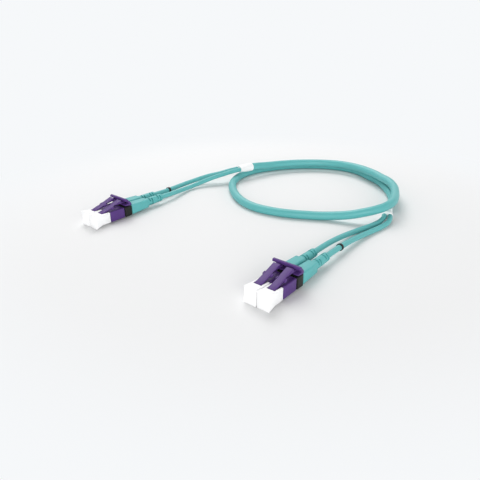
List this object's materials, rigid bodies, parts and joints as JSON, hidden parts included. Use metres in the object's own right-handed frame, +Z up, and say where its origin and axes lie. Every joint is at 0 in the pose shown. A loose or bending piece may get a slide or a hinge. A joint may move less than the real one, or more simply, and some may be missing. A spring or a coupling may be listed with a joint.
{
  "type": "fiber optic patch cord",
  "caption": "Fiber optic patch cord: duplex plugs with square dust caps, sprung latch arms and boots, joined by one looped round cable that splits into thinner legs.",
  "frame": {"origin": "on the floor, midway between the two plugs: the bottom centre of the box round both plugs, cable left out", "axes": "+X from plug a to plug b, the long side of that box; both plugs point their noses to -Y; +Z up"},
  "size_m": [0.1286, 0.1806, 0.011],
  "materials": {
    "white_cap": "satin, moulded",
    "purple_plastic": "satin, moulded",
    "black_plastic": "satin, moulded",
    "aqua_boot": "soft, satin",
    "aqua_jacket": "extruded cable jacket, satin",
    "white_sleeve": "shrunk sleeve, matt",
    "zirconia": "polished",
    "nickel": "nickel plated",
    "spring_steel": "drawn wire",
    "fiber_buffer": "smooth coating"
  },
  "bodies": {
    "cord": {"a1_housing": "purple_plastic", "a1_crimp_body": "nickel", "a1_crimp_sleeve": "nickel", "a1_boot": "aqua_boot", "a1_spring": "spring_steel", "a2_housing": "purple_plastic", "a2_crimp_body": "nickel", "a2_crimp_sleeve": "nickel", "a2_boot": "aqua_boot", "a2_spring": "spring_steel", "a_duplex_clip": "black_plastic", "a_splitter_sleeve": "white_sleeve", "a_marker_ring": "black_plastic", "a_leg_1": "aqua_jacket", "a_leg_2": "aqua_jacket", "b1_housing": "purple_plastic", "b1_crimp_body": "nickel", "b1_crimp_sleeve": "nickel", "b1_boot": "aqua_boot", "b1_spring": "spring_steel", "b2_housing": "purple_plastic", "b2_crimp_body": "nickel", "b2_crimp_sleeve": "nickel", "b2_boot": "aqua_boot", "b2_spring": "spring_steel", "b_duplex_clip": "black_plastic", "b_splitter_sleeve": "white_sleeve", "b_marker_ring": "black_plastic", "b_leg_1": "aqua_jacket", "b_leg_2": "aqua_jacket", "trunk_cable": "aqua_jacket"},
    "a1_cap": {"a1_dust_cap": "white_cap"},
    "a1_latch_arm": {"a1_latch": "purple_plastic"},
    "a1_ferrule_set": {"a1_ferrule": "zirconia", "a1_ferrule_flange": "nickel", "a1_fiber": "fiber_buffer"},
    "a2_cap": {"a2_dust_cap": "white_cap"},
    "a2_latch_arm": {"a2_latch": "purple_plastic"},
    "a2_ferrule_set": {"a2_ferrule": "zirconia", "a2_ferrule_flange": "nickel", "a2_fiber": "fiber_buffer"},
    "a_trigger_lever": {"a_trigger": "purple_plastic"},
    "b1_cap": {"b1_dust_cap": "white_cap"},
    "b1_latch_arm": {"b1_latch": "purple_plastic"},
    "b1_ferrule_set": {"b1_ferrule": "zirconia", "b1_ferrule_flange": "nickel", "b1_fiber": "fiber_buffer"},
    "b2_cap": {"b2_dust_cap": "white_cap"},
    "b2_latch_arm": {"b2_latch": "purple_plastic"},
    "b2_ferrule_set": {"b2_ferrule": "zirconia", "b2_ferrule_flange": "nickel", "b2_fiber": "fiber_buffer"},
    "b_trigger_lever": {"b_trigger": "purple_plastic"}
  },
  "joints": [
    {"name": "a1_cap_slide", "type": "slide", "parent": "cord", "child": "a1_cap", "axis": [0, -1, 0], "range_m": [0, 0.01]},
    {"name": "a1_latch_press", "type": "hinge", "parent": "cord", "child": "a1_latch_arm", "pos_m": [-0.05962, -0.0162, 0.0066], "axis": [-1, 0, 0], "range_deg": [0, 2.5]},
    {"name": "a1_ferrule_float", "type": "slide", "parent": "cord", "child": "a1_ferrule_set", "axis": [0, 1, 0], "range_m": [0, 0.0012], "stiffness_N_per_m": 1500, "springref_m": -0.002, "deforming": ["a1_spring"]},
    {"name": "a2_cap_slide", "type": "slide", "parent": "cord", "child": "a2_cap", "axis": [0, -1, 0], "range_m": [0, 0.01]},
    {"name": "a2_latch_press", "type": "hinge", "parent": "cord", "child": "a2_latch_arm", "pos_m": [-0.05337, -0.0162, 0.0066], "axis": [-1, 0, 0], "range_deg": [0, 2.5]},
    {"name": "a2_ferrule_float", "type": "slide", "parent": "cord", "child": "a2_ferrule_set", "axis": [0, 1, 0], "range_m": [0, 0.0012], "stiffness_N_per_m": 1500, "springref_m": -0.002, "deforming": ["a2_spring"]},
    {"name": "a_trigger_press", "type": "hinge", "parent": "cord", "child": "a_trigger_lever", "pos_m": [-0.0565, 0.001, 0.0076], "axis": [1, 0, 0], "range_deg": [0, 10], "stiffness_Nm_per_rad": 0.05, "springref_deg": -2.86},
    {"name": "b1_cap_slide", "type": "slide", "parent": "cord", "child": "b1_cap", "axis": [0, -1, 0], "range_m": [0, 0.01]},
    {"name": "b1_latch_press", "type": "hinge", "parent": "cord", "child": "b1_latch_arm", "pos_m": [0.05337, -0.0216, 0.0066], "axis": [-1, 0, 0], "range_deg": [0, 2.5]},
    {"name": "b1_ferrule_float", "type": "slide", "parent": "cord", "child": "b1_ferrule_set", "axis": [0, 1, 0], "range_m": [0, 0.0012], "stiffness_N_per_m": 1500, "springref_m": -0.002, "deforming": ["b1_spring"]},
    {"name": "b2_cap_slide", "type": "slide", "parent": "cord", "child": "b2_cap", "axis": [0, -1, 0], "range_m": [0, 0.01]},
    {"name": "b2_latch_press", "type": "hinge", "parent": "cord", "child": "b2_latch_arm", "pos_m": [0.05962, -0.0216, 0.0066], "axis": [-1, 0, 0], "range_deg": [0, 2.5]},
    {"name": "b2_ferrule_float", "type": "slide", "parent": "cord", "child": "b2_ferrule_set", "axis": [0, 1, 0], "range_m": [0, 0.0012], "stiffness_N_per_m": 1500, "springref_m": -0.002, "deforming": ["b2_spring"]},
    {"name": "b_trigger_press", "type": "hinge", "parent": "cord", "child": "b_trigger_lever", "pos_m": [0.0565, -0.0044, 0.0076], "axis": [1, 0, 0], "range_deg": [0, 10], "stiffness_Nm_per_rad": 0.05, "springref_deg": -2.86}
  ],
  "couplings": [
    {"joint": "a1_latch_press", "follows": "a_trigger_press", "ratio": 0.25},
    {"joint": "a2_latch_press", "follows": "a_trigger_press", "ratio": 0.25},
    {"joint": "b1_latch_press", "follows": "b_trigger_press", "ratio": 0.25},
    {"joint": "b2_latch_press", "follows": "b_trigger_press", "ratio": 0.25}
  ]
}
